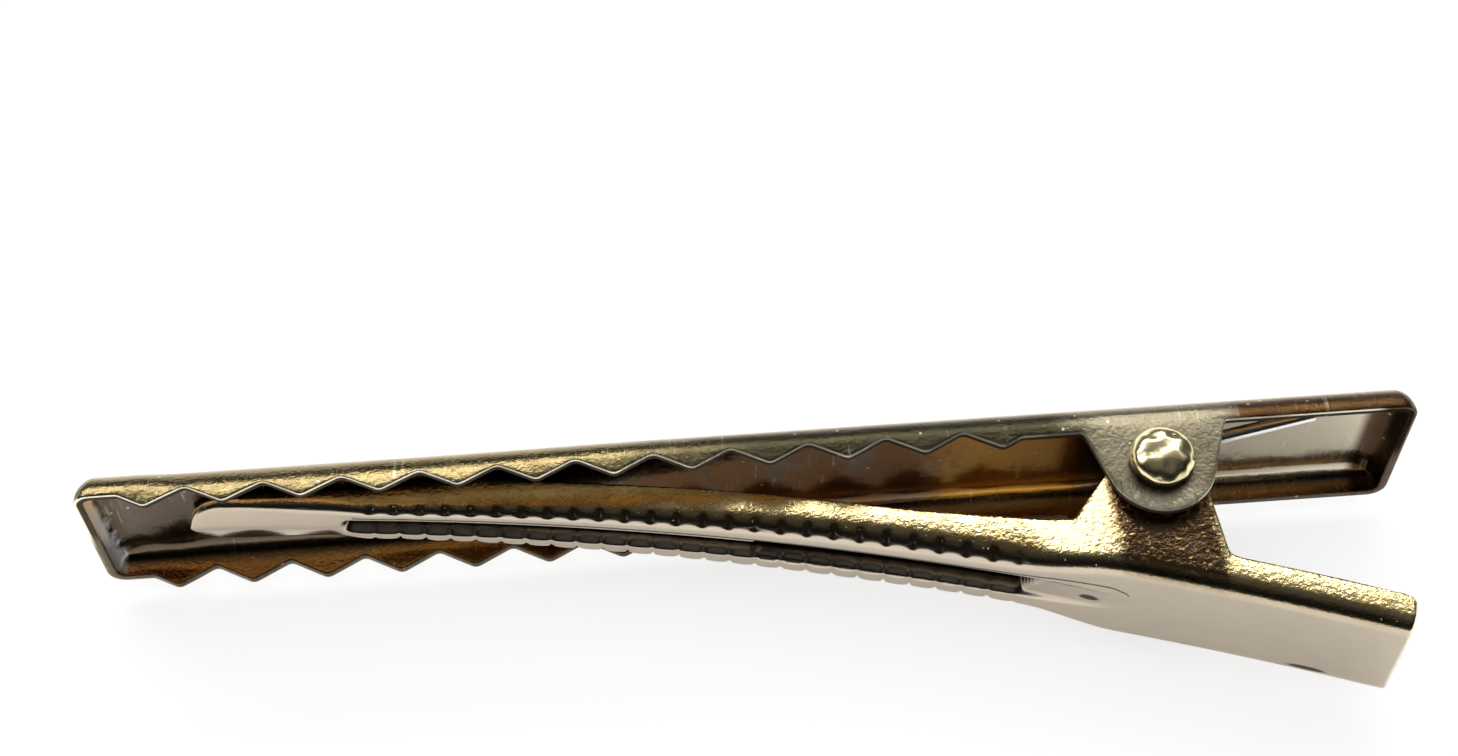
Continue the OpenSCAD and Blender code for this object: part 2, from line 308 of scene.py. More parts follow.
def sheet_piece(name, outer, inner, inset, marks, ring):
    """Closed sheet between two point grids [station, row], drawn together by the inset at its cut edges.

    A ring of stations meets itself and is capped along its first row; others run from end to end.
    The marks and the inner face are kept as attributes for the finish.
    """
    draw_in = (inner - outer) * inset[..., None]
    points = np.concatenate([outer + draw_in, inner - draw_in]).reshape(-1, 3)
    index = np.arange(outer.size // 3).reshape(outer.shape[:2])
    back = index + index.size
    here, ahead = (index, np.roll(index, -1, 0)) if ring else (index[:-1], index[1:])
    quads = []
    for skin in (0, index.size):
        quads.append(np.stack([here[:, :-1], here[:, 1:], ahead[:, 1:], ahead[:, :-1]], -1) + skin)
    for row in (-1,) if ring else (0, -1):
        first, second = here[:, row], ahead[:, row]
        quads.append(np.stack([first, second, second + index.size, first + index.size], -1))
    faces = np.vstack([q.reshape(-1, 4) for q in quads]).tolist()
    if ring:
        faces += [index[:, 0].tolist(), back[:, 0].tolist()]
    else:
        for end in (0, -1):
            faces += np.stack([index[end, :-1], index[end, 1:], back[end, 1:], back[end, :-1]], -1).tolist()
    mesh = bpy.data.meshes.new(name)
    mesh.from_pydata(points * MM, [], faces)
    for label, values in {**marks, "inside": np.array([0, 1])[:, None, None]}.items():
        values = np.broadcast_to(values, (2, *index.shape)).ravel()
        mesh.attributes.new(label, "FLOAT", "POINT").data.foreach_set("value", values.astype(np.float32))
    work = bmesh.new()
    work.from_mesh(mesh)
    bmesh.ops.remove_doubles(work, verts=work.verts, dist=MERGE_GAP * MM)
    bmesh.ops.dissolve_degenerate(work, edges=work.edges, dist=LEAST_EDGE * MM)
    bmesh.ops.recalc_face_normals(work, faces=work.faces)
    work.to_mesh(mesh)
    work.free()
    mesh.shade_smooth()
    return new_object(name, mesh)


# Top plate

def flange_line(x):
    """Depth of the plate's side flanges, with their teeth and ears, before rounding."""
    tips = PLATE_LOW[0] + FIRST_TOOTH + TOOTH_PITCH * np.arange(TOOTH_COUNT)
    flat = TOOTH_FLAT / 2
    run = (TOOTH_PITCH / 2 - TOOTH_FLAT) / (TOOTH_DEPTH - VALLEY_DEPTH)
    line = [(tips[0] - flat - run * (TOOTH_DEPTH - LIP_DEPTH), LIP_DEPTH)]
    for tip in tips:
        line += [(tip - flat, TOOTH_DEPTH), (tip + flat, TOOTH_DEPTH)]
        if tip < tips[-1]:
            valley = tip + TOOTH_PITCH / 2
            line += [(valley - flat, VALLEY_DEPTH), (valley + flat, VALLEY_DEPTH)]
    line += [(tips[-1] + flat + run * (TOOTH_DEPTH - PLAIN_DEPTH), PLAIN_DEPTH)]
    line += [(PIVOT[0], PLAIN_DEPTH), (PIVOT[0] + EAR_R / 2, LIP_DEPTH)]
    front = (PIVOT[0] - EAR_REACH, EAR_ROOT - PLAIN_DEPTH)
    rear = (PIVOT[0] + EAR_REACH, EAR_ROOT - LIP_DEPTH)
    ear = ear_line(front, rear, EAR_R)
    return np.maximum(np.interp(x, *np.transpose(line)), np.interp(x, ear[:, 0], -ear[:, 1], 0, 0))


def plate_stations(side_count=600, lip_count=46, corner_count=9):
    """Stations round the plate: origin, outward direction, mitre direction, corner radius and depth."""
    half = (PLATE_HIGH - PLATE_LOW)[[0, 2]] / 2
    stations = []
    for out in ((0, 1), (1, 0), (0, -1), (-1, 0)):
        out = np.array(out)
        along = np.array([out[1], -out[0]])
        reach, width = abs(along) @ half, abs(out) @ half
        long_side = out[0] == 0
        straight = reach - EDGE_R - FLAT_MARGIN
        for s in np.linspace(-straight, straight, side_count if long_side else lip_count):
            origin = out * width + along * s
            depth = eased(flange_line, origin[0]) if long_side else LIP_DEPTH
            stations.append((*origin, *out, *out, 0, depth))
        origin = out * (width - CORNER_R) + along * (reach - CORNER_R)
        for turn in np.linspace(0, math.pi / 2, corner_count):
            facing = math.cos(turn) * out + math.sin(turn) * along
            stations.append((*origin, *facing, *(out + along), CORNER_R, LIP_DEPTH))
    table = np.array(stations)
    return table[:, 0:2], table[:, 2:4], table[:, 4:6], table[:, 6:7], table[:, 7:8]


def top_plate():
    """The plate: a tray with rolled edges, its flanges cut to teeth and ears."""
    origin, out, mitre, corner, depth = plate_stations()
    roll = np.radians(np.linspace(0, ROLL_END, ROLL_ROWS))
    share = steps(0, 1, FLANGE_ROWS)
    turn = EDGE_TURN[1:]
    faces = []
    for inward in (0, PLATE_T):
        r = EDGE_R - inward
        level = np.concatenate([[r], r * np.cos(roll)]) - EDGE_R + np.zeros_like(depth)
        low = level[:, -1:] + (PLATE_EDGE_ROUND - depth - level[:, -1:]) * share
        height = np.hstack([level, low, PLATE_EDGE_ROUND - depth - PLATE_EDGE_ROUND * np.sin(turn)])
        offset = EDGE_R - np.sqrt(np.maximum(0, r * r - np.maximum(0, EDGE_R + height) ** 2))
        lean_in = ease(0, 1, *LEAN_X[:2], origin[:, :1]) * ease(1, 0, *LEAN_X[2:], origin[:, :1])
        offset += FLANGE_LEAN * lean_in * smooth((height + TOOTH_DEPTH) / EDGE_R) * (corner == 0)
        offset[:, 0] = EDGE_R + FLAT_MARGIN
        spread = np.maximum(0, corner - offset)[..., None] * out[:, None]
        flat = origin[:, None] + spread - np.maximum(0, offset - corner)[..., None] * mitre[:, None]
        faces.append(np.stack([flat[..., 0], height, flat[..., 1]], -1))
    inset = np.zeros_like(faces[0][..., 0])
    inset[:, -len(turn):] = PLATE_EDGE_ROUND / PLATE_T * (1 - np.cos(turn))
    to_edge = np.linalg.norm(faces[0] - faces[0][:, -1:], axis=-1)
    flank = np.ones(to_edge.shape[1])
    flank[0] = 0
    flank[1:len(roll) + 1] = smooth((roll - FLANK_START) / FLANK_BLEND)
    return sheet_piece("plated_top_plate", *faces, inset, {"to_edge": to_edge, "flank": flank}, ring=True)


# Lever

def spine(x):
    return -MID_DROP - x * MID_SLOPE - x * x / (2 * BOW_R)


def lean(x):
    return np.arctan(MID_SLOPE + x / BOW_R)


def on_lever(x, z, v):
    """Place of a point that is v inside the lever's underside, square to the bow at x."""
    return np.stack([x + v * np.sin(lean(x)), spine(x) + v * np.cos(lean(x)), z + 0 * v], -1)


def lever_half(x):
    tip = np.sqrt(np.maximum(0, TIP_R ** 2 - np.minimum(0, x - TIP_X) ** 2))
    neck = ease(2 * TIP_R, NECK_W, TIP_X, NECK_X, x) / 2
    root = ease(NECK_W, ROOT_W, NECK_X, ROOT_X, x) / 2
    thumb = ease(ROOT_W, THUMB_W, *SHOULDER, x) / 2
    return np.where(x < TIP_X, tip, np.where(x < NECK_X, neck, np.where(x < ROOT_X, root, thumb)))


def wall_height(x):
    """Height of the side walls alone, which grow toward the ears."""
    prong = ease(SPOON_RIM, WALL_H, *WALL_FRONT, x)
    root = ease(WALL_H, ROOT_WALL, WALL_RISE, SHOULDER[1], x)
    past = np.clip(x - THUMB_END + THUMB_CORNER_R, 0, THUMB_CORNER_R)
    thumb = ease(ROOT_WALL, THUMB_WALL, PIVOT[0], PIVOT[0] + EAR_R, x)
    thumb = thumb - THUMB_CORNER_R + np.sqrt(THUMB_CORNER_R ** 2 - past ** 2)
    return np.where(x < WALL_RISE, prong, np.where(x < PIVOT[0], root, thumb))


def wall_line(x):
    """Height of the lever's side walls and ears, square to the bow, before rounding."""
    room = (PLATE_HIGH[1] - PLATE_T - CLOSED_GAP - spine(x)) / np.cos(lean(x))
    wall = wall_height(x)
    front, rear = PIVOT[0] - LEVER_EAR_REACH, PIVOT[0] + EAR_R
    foot = (front, spine(front) + wall_height(front) + EAR_BLEND)
    heel = (rear, spine(rear) + wall_height(rear) + EAR_BLEND)
    line = ear_line(heel, foot, LEVER_EAR_R)[::-1]
    place = line[:, 0].copy()
    for _ in range(SOLVE_STEPS):
        height = (line[:, 1] - spine(place)) / np.cos(lean(place))
        place = line[:, 0] - height * np.sin(lean(place))
    ear = np.interp(x, place, height, 0, 0)
    return np.maximum(np.where(x < 0, np.minimum(wall, room), wall), ear)


def groove_end(z):
    """Rear end of the groove, cut off at a slant."""
    return GROOVE_X[1] + GROOVE_SLANT * (z + GROOVE_HALF[0])


def along_groove(x):
    """Share of the groove's length that is passed at x."""
    return (x - GROOVE_X[0]) / (GROOVE_X[1] - GROOVE_X[0])


def groove_dent(x, z, grow):
    """Depth of the pressed groove and its shallow end, grown by the sheet's thickness for the bead inside."""
    half = part_way(GROOVE_HALF, along_groove(x)) + (grow or flute_dent(x) * (z < 0))
    off = np.hypot(np.minimum(0, x - GROOVE_X[0]), z)
    sides = smooth((half - off) / GROOVE_DRAFT + SIDE_DRAFT)
    end = smooth((groove_end(z) + grow - x) / GROOVE_DRAFT + END_DRAFT)
    groove = part_way(GROOVE_DEEP, along_groove(x)) * sides * end
    t = np.clip((x - GROOVE_X[1]) / (FADE_END - GROOVE_X[1]), 0, 1)
    fade_half = GROOVE_HALF[1] * np.sqrt(1 - t ** 3) + grow
    fade = FADE_DEPTH * (1 - t) * smooth((fade_half - abs(z)) / GROOVE_DRAFT + FADE_DRAFT) * (x > 0)
    return np.maximum(groove, fade)


def flute_dent(x):
    """Depth of the creases pressed across the rails of the prong, with soft pillows between them."""
    first, last = FLUTE_X
    off = x - (np.round((x - first) / FLUTE_PITCH) * FLUTE_PITCH + first)
    crease = FLUTE_DEPTH * np.maximum(0, 1 - abs(off) / FLUTE_HALF)
    pillow = PILLOW_DEPTH * (1 - 2 * abs(off) / FLUTE_PITCH) ** 2
    shown = smooth((x - first) / FLUTE_PITCH + 0.5) * smooth((last - x) / FLUTE_PITCH + 0.5)
    return (crease + pillow) * shown


def spoon_rise(x, z):
    """Rise of the spoon's underside away from the soft ridge along its middle."""
    return SPOON_SLOPE * (np.hypot(z, SPOON_RIDGE) - SPOON_RIDGE) * ease(1, 0, *SPOON_FADE, x)


def lever_stations():
    """Places along the lever, closest together at its two ends."""
    tip = TIP_X - TIP_R * np.sin(np.radians(np.linspace(TIP_TURN, 0, TIP_STATIONS)))
    prong = np.arange(TIP_X + PRONG_STEP, SHOULDER[0], PRONG_STEP)
    thumb = np.arange(SHOULDER[0], THUMB_END - LEVER_EDGE_ROUND, THUMB_STEP)
    end = THUMB_END - LEVER_EDGE_ROUND * (1 - np.sin(EDGE_TURN))
    return np.concatenate([tip, prong, thumb, end])[:, None]


def lever_section(x, inward, flute_foot):
    """Half section from the top of the wall to the middle of the floor: z and v at every station."""
    h = lever_half(x)
    tip_fold = ease(TIP_FOLD_R, NECK_FOLD_R, TIP_X, NECK_X, x)
    prong_fold = ease(NECK_FOLD_R, FOLD_R, NECK_X, ROOT_X, x)
    thumb_fold = ease(FOLD_R, THUMB_FOLD_R, ROOT_X, SHOULDER[1], x)
    fold = np.where(x < NECK_X, tip_fold, np.where(x < ROOT_X, prong_fold, thumb_fold))
    fold = np.minimum(fold, FOLD_SHARE * h)
    t = np.minimum(LEVER_T, h / 2) if inward else np.zeros_like(h)
    r = np.maximum(LEAST_R, fold - LEVER_T) if inward else fold
    mid_z, mid_v = h - t - r, (LEVER_T if inward else 0) + r
    wall_foot = mid_v + spoon_rise(x, h)
    top = np.maximum(eased(wall_line, x), wall_foot + LEVER_EDGE_ROUND / 2)
    high = top - LEVER_EDGE_ROUND + LEVER_EDGE_ROUND * np.sin(EDGE_TURN[::-1])
    side = high[:, -1:] + (wall_foot - high[:, -1:]) * steps(0, 1, SIDE_ROWS)
    wall_v = np.hstack([high, np.minimum(side, high[:, -1:])])
    bend = np.radians(np.linspace(*BEND, BEND_ROWS))
    bend_z, bend_v = mid_z + r * np.sin(bend), mid_v - r * np.cos(bend)
    start = mid_z + r * math.sin(math.radians(BEND[1]))
    rim = np.minimum(part_way(GROOVE_HALF, np.clip(along_groove(x), 0, 1)), RIM_SHARE * start)
    band = np.minimum(RIM_BAND, RIM_BAND_SHARE * rim)
    floor_z = np.hstack([
        start + (rim + band - start) * steps(0, 1, FLOOR_ROWS[0]),
        rim + band * steps(1, -1, FLOOR_ROWS[1]),
        (rim - band) * steps(1, 0, FLOOR_ROWS[2]),
    ])
    floor_v = mid_v - np.sqrt(np.maximum(0, r * r - np.maximum(0, floor_z - mid_z) ** 2))
    rise = np.clip((wall_v - mid_v) / (top - mid_v), 0, 1) * np.minimum(1, wall_height(x) / top) ** 2
    z = np.hstack([h - t - WALL_LEAN * rise ** 2, bend_z, floor_z])
    v = np.hstack([wall_v, bend_v + spoon_rise(x, bend_z), floor_v + spoon_rise(x, floor_z)])
    if inward:
        return z, v
    angle = np.where(v > mid_v, math.pi, np.arcsin(np.clip((z - mid_z) / r, -1, 1)))
    dent = flute_dent(x) * smooth((FLUTE_TOP - angle) / FLUTE_BLEND)
    dent = dent * smooth((angle - flute_foot) / FLUTE_BLEND)
    return z - dent * np.sin(angle), v + dent * np.cos(angle)


def lever():
    """The lever: a folded channel with a grooved and fluted prong, ears and a flared thumb plate."""
    x = lever_stations()
    faces = []
    for inward in (False, True):
        near_z, near_v = lever_section(x, inward, FLUTE_FOOT["near"])
        far_z, far_v = lever_section(x, inward, FLUTE_FOOT["far"])
        z = np.hstack([near_z, -far_z[:, -2::-1]])
        v = np.hstack([near_v, far_v[:, -2::-1]])
        dent = groove_dent(x, z, LEVER_T) + LEVER_T if inward else groove_dent(x, z, 0)
        if not inward:
            # Share of the groove's depth, kept for the painted shade in it
            pit = smooth(dent / GROOVE_DEEP[0])
        faces.append(on_lever(x, z, np.maximum(v, dent)))
    rounding = np.zeros_like(faces[0][..., 0])
    draw_in = 1 - np.cos(EDGE_TURN)
    rounding[:, :EDGE_ROWS] = draw_in[::-1]
    rounding[:, -EDGE_ROWS:] = draw_in
    rounding[-EDGE_ROWS:] = np.maximum(rounding[-EDGE_ROWS:], draw_in[:, None])
    to_walls = [np.linalg.norm(faces[0] - faces[0][:, [row]], axis=-1) for row in (0, -1)]
    to_edge = np.minimum(np.minimum(*to_walls), THUMB_END - x)
    flank = np.interp(np.arange(to_edge.shape[1]), (WALL_ROWS, WALL_ROWS + FOLD_ROWS), (1, 0))
    flank = np.maximum(flank, flank[::-1])
    marks = {"to_edge": to_edge, "flank": flank, "pit": np.stack([pit, 0 * pit])}
    return sheet_piece("plated_lever", *faces, rounding * LEVER_EDGE_ROUND / LEVER_T, marks, ring=False)


# Geometry Nodes for the rivet and the spring

FLOAT = "NodeSocketFloat"
VECTOR = "NodeSocketVector"
COUNT = "NodeSocketInt"
GEOMETRY = "NodeSocketGeometry"
MATERIAL = "NodeSocketMaterial"


def add(tree, kind, inputs=None, **settings):
    """New node with its settings; an input takes a value, or the socket or node that feeds it."""
    made = tree.nodes.new(kind)
    for name, value in settings.items():
        setattr(made, name, value)
    for name, value in (inputs or {}).items():
        value = value.outputs[0] if isinstance(value, bpy.types.Node) else value
        if isinstance(value, bpy.types.NodeSocket):
            tree.links.new(value, made.inputs[name])
        else:
            made.inputs[name].default_value = value
    return made


def home(values):
    """Tree of the first socket among the values."""
    return next(value.id_data for value in values if isinstance(value, bpy.types.NodeSocket))


def maths(operation, *values):
    return add(home(values), "ShaderNodeMath", dict(enumerate(values)), operation=operation).outputs[0]


def vector_maths(operation, *values):
    made = add(home(values), "ShaderNodeVectorMath", dict(enumerate(values)), operation=operation)
    return made.outputs["Value" if operation == "LENGTH" else "Vector"]


def axes(vector):
    return add(vector.id_data, "ShaderNodeSeparateXYZ", {0: vector}).outputs


def new_tree(name, kind, inputs):
    """Node group with named input sockets; returns the tree and these sockets."""
    tree = bpy.data.node_groups.new(name, kind)
    for label, socket_type in inputs.items():
        tree.interface.new_socket(label, in_out="INPUT", socket_type=socket_type)
    return tree, add(tree, "NodeGroupInput").outputs


def give(tree, outputs, socket_type=FLOAT):
    """The tree, ended with output sockets of the given names and what feeds them."""
    for label in outputs:
        tree.interface.new_socket(label, in_out="OUTPUT", socket_type=socket_type)
    add(tree, "NodeGroupOutput", outputs)
    return tree


def grown_piece(name, source, tree, values):
    """Plain mesh piece from a node tree that runs on a source mesh."""
    carrier = new_object(name, source)
    grower = carrier.modifiers.new("grow", "NODES")
    grower.node_group = tree
    for item in tree.interface.items_tree:
        if item.in_out == "INPUT" and item.name in values:
            grower[item.identifier] = values[item.name]
    evaluated = carrier.evaluated_get(bpy.context.evaluated_depsgraph_get())
    mesh = bpy.data.meshes.new_from_object(evaluated)
    mesh.name = name
    carrier.modifiers.remove(grower)
    carrier.data = mesh
    return carrier


def rivet_tree():
    """Two peened heads set on the ends of a shank."""
    tree, given = new_tree("rivet_tree", "GeometryNodeTree", {
        "Geometry": GEOMETRY, "Shank Radius": FLOAT, "Span": FLOAT, "Dent Depth": FLOAT,
        "Dent Scale": FLOAT, "Seed": FLOAT, "Material": MATERIAL})
    heads = add(tree, "GeometryNodeJoinGeometry")
    for end, turn in ((0.5, 0), (-0.5, math.pi)):
        level = maths("MULTIPLY", given["Span"], end)
        head = add(tree, "GeometryNodeTransform", {
            "Geometry": given["Geometry"], "Rotation": (turn, 0, 0),
            "Translation": add(tree, "ShaderNodeCombineXYZ", {"Z": level})})
        tree.links.new(head.outputs[0], heads.inputs[0])
    place = add(tree, "GeometryNodeInputPosition")
    spot = add(tree, "ShaderNodeVectorMath", {0: place, "Scale": given["Dent Scale"]}, operation="SCALE")
    cells = add(tree, "ShaderNodeTexVoronoi", {
        "Vector": spot, "W": given["Seed"], "Scale": 1.0, "Smoothness": PEEN_SMOOTHNESS},
        voronoi_dimensions="4D", feature="SMOOTH_F1")
    push = maths("SUBTRACT", cells.outputs["Distance"], PEEN_LEVEL)
    push = maths("MULTIPLY", push, given["Dent Depth"])
    normal = add(tree, "GeometryNodeInputNormal")
    offset = add(tree, "ShaderNodeVectorMath", {0: normal, "Scale": push}, operation="SCALE")
    peened = add(tree, "GeometryNodeSetPosition", {"Geometry": heads, "Offset": offset})
    shank = add(tree, "GeometryNodeMeshCylinder", {
        "Vertices": SHANK_SIDES, "Radius": given["Shank Radius"], "Depth": given["Span"]})
    whole = add(tree, "GeometryNodeJoinGeometry")
    tree.links.new(peened.outputs[0], whole.inputs[0])
    tree.links.new(shank.outputs[0], whole.inputs[0])
    return finish_tree(tree, whole, given["Material"])


def wire_tree():
    """Round wire drawn along a path."""
    tree, given = new_tree("wire_tree", "GeometryNodeTree", {
        "Geometry": GEOMETRY, "Wire Radius": FLOAT, "Sides": COUNT, "Material": MATERIAL})
    path = add(tree, "GeometryNodeMeshToCurve", {"Mesh": given["Geometry"]})
    section = add(tree, "GeometryNodeCurvePrimitiveCircle", {
        "Resolution": given["Sides"], "Radius": given["Wire Radius"]})
    wire = add(tree, "GeometryNodeCurveToMesh", {
        "Curve": path, "Profile Curve": section, "Fill Caps": True})
    return finish_tree(tree, wire, given["Material"])


def finish_tree(tree, geometry, material):
    """The tree, ended with smooth shading and a material."""
    real = add(tree, "GeometryNodeRealizeInstances", {"Geometry": geometry})
    round_off = add(tree, "GeometryNodeSetShadeSmooth", {"Geometry": real})
    dressed = add(tree, "GeometryNodeSetMaterial", {"Geometry": round_off, "Material": material})
    return give(tree, {"Geometry": dressed}, GEOMETRY)


def head_mesh(sides=72):
    """Domed rivet head as a lathed shell standing on z = 0, in metres."""
    height = (PIN_HIGH[2] - PIN_LOW[2] - PLATE_HIGH[2] + PLATE_LOW[2]) / 2
    rise = height - HEAD_RIM
    rim = [(HEAD_FOOT, 0), (HEAD_R - HEAD_BEVEL, 0), *((HEAD_R, level) for level in HEAD_SIDE)]
    inner_power, outer_power = DOME_POWERS
    spread = np.sin(np.linspace(*DOME_TURN, DOME_ROWS))
    dome = [(HEAD_R * q, HEAD_RIM + rise * (1 - q ** inner_power) ** outer_power) for q in spread]
    profile = np.array(rim + dome)
    turn = np.linspace(0, 2 * math.pi, sides, endpoint=False)
    points = [(r * math.cos(a), r * math.sin(a), z) for r, z in profile * MM for a in turn]
    rings = np.arange(len(points)).reshape(len(profile), sides)
    faces = []
    for low, high in zip(rings, rings[1:]):
        faces += np.stack([low, np.roll(low, -1), np.roll(high, -1), high], -1).tolist()
    faces += [rings[-1].tolist(), rings[0][::-1].tolist()]
    mesh = bpy.data.meshes.new("rivet_head")
    mesh.from_pydata(points, [], faces)
    return mesh


def hinge_pin(finish):
    """The rivet, with hammered heads on both ears."""
    pin = grown_piece("peened_rivet", head_mesh(), rivet_tree(), {
        "Shank Radius": SHANK_R * MM, "Span": float(PLATE_HIGH[2] - PLATE_LOW[2]) * MM,
        "Dent Depth": PEEN_DEPTH * MM, "Dent Scale": PEEN_SCALE / MM, "Seed": PEEN_SEED, "Material": finish,
    })
    pin.data.transform(Matrix.Translation(Vector((*PIVOT, 0)) * MM))
    return pin


def wire_route():
    """Centre line of the spring: the plate's leg, the coil and the lever's leg."""
    plate_end = (PIVOT[0] + PLATE_LEG, PLATE_HIGH[1] - PLATE_T - LEG_GAP - WIRE_R)
    lever_x = PIVOT[0] + LEVER_LEG
    lever_end = (lever_x, spine(lever_x) + (LEVER_T + LEG_GAP + WIRE_R) / math.cos(lean(lever_x)))
    coil = ear_line(plate_end, lever_end, COIL_R, points=2)[1:-1] - PIVOT
    start, finish = (math.atan2(y, x) for x, y in coil)
    finish = start + (finish - start) % (2 * math.pi) + 2 * math.pi * COIL_TURNS
    angles = np.linspace(start, finish, COIL_POINTS * (COIL_TURNS + 1))
    top = THUMB_W / 2 - LEVER_T - WIRE_R - 2 * COIL_GAP
    z = top - COIL_STEP * (angles - start) / (2 * math.pi)
    turns = np.stack([PIVOT[0] + COIL_R * np.cos(angles), PIVOT[1] + COIL_R * np.sin(angles), z], -1)
    return np.vstack([(*plate_end, z[0]), turns, (*lever_end, z[-1])])


def torsion_spring(finish):
    """The spring wire, wound on the rivet with a leg on the plate and one on the lever."""
    route = wire_route()
    path = bpy.data.meshes.new("wire_route")
    path.from_pydata(route * MM, [(i, i + 1) for i in range(len(route) - 1)], [])
    return grown_piece("spring_wire_coil", path, wire_tree(), {
        "Wire Radius": WIRE_R * MM, "Sides": WIRE_SIDES, "Material": finish}), route[0] * MM, route[-1] * MM


# Finishes: a band runs from where a mark is absent to where it is full, and may end with its strength

STROKE_PATCHES = (0.35, 0.65)
BARE_STROKES = 0.25
FINE_RIPPLE = 4.3
WEAR_SCALE = 900.0
RUB_SCALE = 0.45
RUB_BAND = (0.38, 0.6)
LEAST_RUB = 0.6
SPECK_BAND = (0.14, 0.05)
SPECK_PICK = (0.5, 0.7)
SCRATCH_BAND = (0.66, 0.74)
INSIDE_BAND = (0.1, 0.4)
CUT_BAND = (0.08, 0.02)
ON_LINE = (0.5, 0.499)
DENT_BAND = (1.0, 0.6, 0.95)
UNDERSIDE = (-0.5, -0.8)
DULL_BAND = (0.4, 0.68)
FLAT_DULLNESS = 0.2
STREAK_BAND = (0.06, 0.25)
MARK_ROUGHNESS = 0.12
INSIDE_HIDES = 0.9
PLATE_ROUGHNESS = {"strip": 0.35, "shaded": 0.8, "nose": 0.3, "satin": 0.12}


def scaled(value, factor, base=0.0):
    """Socket of value times factor plus base."""
    return maths("MULTIPLY_ADD", value, factor, base)


def without(value, share, hidden=1.0):
    """Socket of the value, less its hidden part where the share is full."""
    return scaled(value, scaled(share, -hidden, 1.0))


def ramp(value, start, end, top=1.0):
    """Socket that grows from 0 where the value is start to top where it is end."""
    return add(value.id_data, "ShaderNodeMapRange", {
        "Value": value, "From Min": start, "From Max": end, "To Max": top},
        interpolation_type="SMOOTHSTEP").outputs[0]


def over(value, span):
    """Socket that grows from 0 to 1 over a span of places in millimetres."""
    return ramp(value, *(end * MM for end in span))


def within(value, spans, share=1.0):
    """Socket of the share, kept only where the value is past the start of every span."""
    for span in spans:
        share = scaled(share, over(value, span))
    return share


def noise(place, scale, detail=2.0, roughness=0.5, distortion=0.0):
    """Socket of a noise from 0 to 1, with its scale per metre."""
    return add(place.id_data, "ShaderNodeTexNoise", {
        "Vector": place, "Scale": scale, "Detail": detail, "Roughness": roughness,
        "Distortion": distortion}).outputs[0]


def part_place(tree):
    """Place in the part's own frame."""
    return add(tree, "ShaderNodeTexCoord").outputs["Object"]


def mark(tree, label):
    """Value kept on the mesh by sheet_piece."""
    return add(tree, "ShaderNodeAttribute", attribute_name=label).outputs["Fac"]


def mix_colour(share, first, second):
    tree = home((share, first, second))
    return add(tree, "ShaderNodeMix", {0: share, 6: first, 7: second}, data_type="RGBA").outputs[2]


def layered(base, coats):
    """Colour of a base under coats, each given as its share and its colour."""
    for share, colour in coats:
        base = mix_colour(share, base, colour)
    return base


def shader_group(name, *inputs):
    """Shader node group whose inputs are numbers, apart from those named as a grain, which are vectors."""
    return new_tree(name, "ShaderNodeTree", {
        label: VECTOR if "Grain" in label else FLOAT for label in inputs})


def brush_marks_group():
    """Fine strokes left by brushing, about -0.5 to 0.5; Grain counts them per metre along each axis."""
    tree, given = shader_group("brush_marks", "Grain", "Patches")
    place = part_place(tree)
    grain = vector_maths("MULTIPLY", place, given["Grain"])
    fine = noise(grain, 1.0, detail=4.0, roughness=0.65)
    patches = ramp(noise(place, given["Patches"]), *STROKE_PATCHES)
    shown = scaled(patches, 1 - BARE_STROKES, BARE_STROKES)
    return give(tree, {"Strokes": scaled(scaled(fine, 1.0, -0.5), shown)})


def press_ripple_group():
    """Soft waviness that stamping and tumbling leave in thin sheet."""
    tree, given = shader_group("press_ripple", "Scale", "Fine Share")
    place = part_place(tree)
    broad = noise(place, given["Scale"], detail=1.0, distortion=0.6)
    fine = noise(place, scaled(given["Scale"], FINE_RIPPLE), detail=3.0)
    return give(tree, {"Height": scaled(fine, given["Fine Share"], broad), "Mottle": fine})


def edge_wear_group():
    """Burnished band along the cut edges, uneven in width and strength."""
    tree, given = shader_group("edge_wear", "Width", "Scale")
    place = part_place(tree)
    uneven = noise(place, given["Scale"], detail=3.0)
    wear = ramp(mark(tree, "to_edge"), scaled(uneven, given["Width"]), 0.0)
    rubbed = ramp(noise(place, scaled(given["Scale"], RUB_SCALE)), *RUB_BAND)
    return give(tree, {"Wear": scaled(wear, scaled(rubbed, 1 - LEAST_RUB, LEAST_RUB))})


def handling_marks_group():
    """Fine scratches and small specks from handling."""
    tree, given = shader_group("handling_marks", "Speck Scale", "Scratch Grain")
    place = part_place(tree)
    cells = add(tree, "ShaderNodeTexVoronoi", {
        "Vector": place, "Scale": given["Speck Scale"], "Randomness": 1.0}).outputs
    pick = add(tree, "ShaderNodeSeparateColor", {"Color": cells["Color"]}).outputs[0]
    specks = scaled(ramp(cells["Distance"], *SPECK_BAND), ramp(pick, *SPECK_PICK))
    grain = vector_maths("MULTIPLY", place, given["Scratch Grain"])
    scratches = ramp(noise(grain, 1.0, distortion=0.4), *SCRATCH_BAND)
    return give(tree, {"Specks": specks, "Scratches": scratches})


def flank_grain_group():
    """Share of upright flank, and the glittering grain that stamping leaves on it."""
    tree, given = shader_group("flank_grain", "Scale")
    flank = mark(tree, "flank")
    grain = noise(part_place(tree), given["Scale"], detail=3.0, roughness=0.6)
    return give(tree, {"Flank": flank, "Height": scaled(scaled(grain, 1.0, -0.5), flank)})


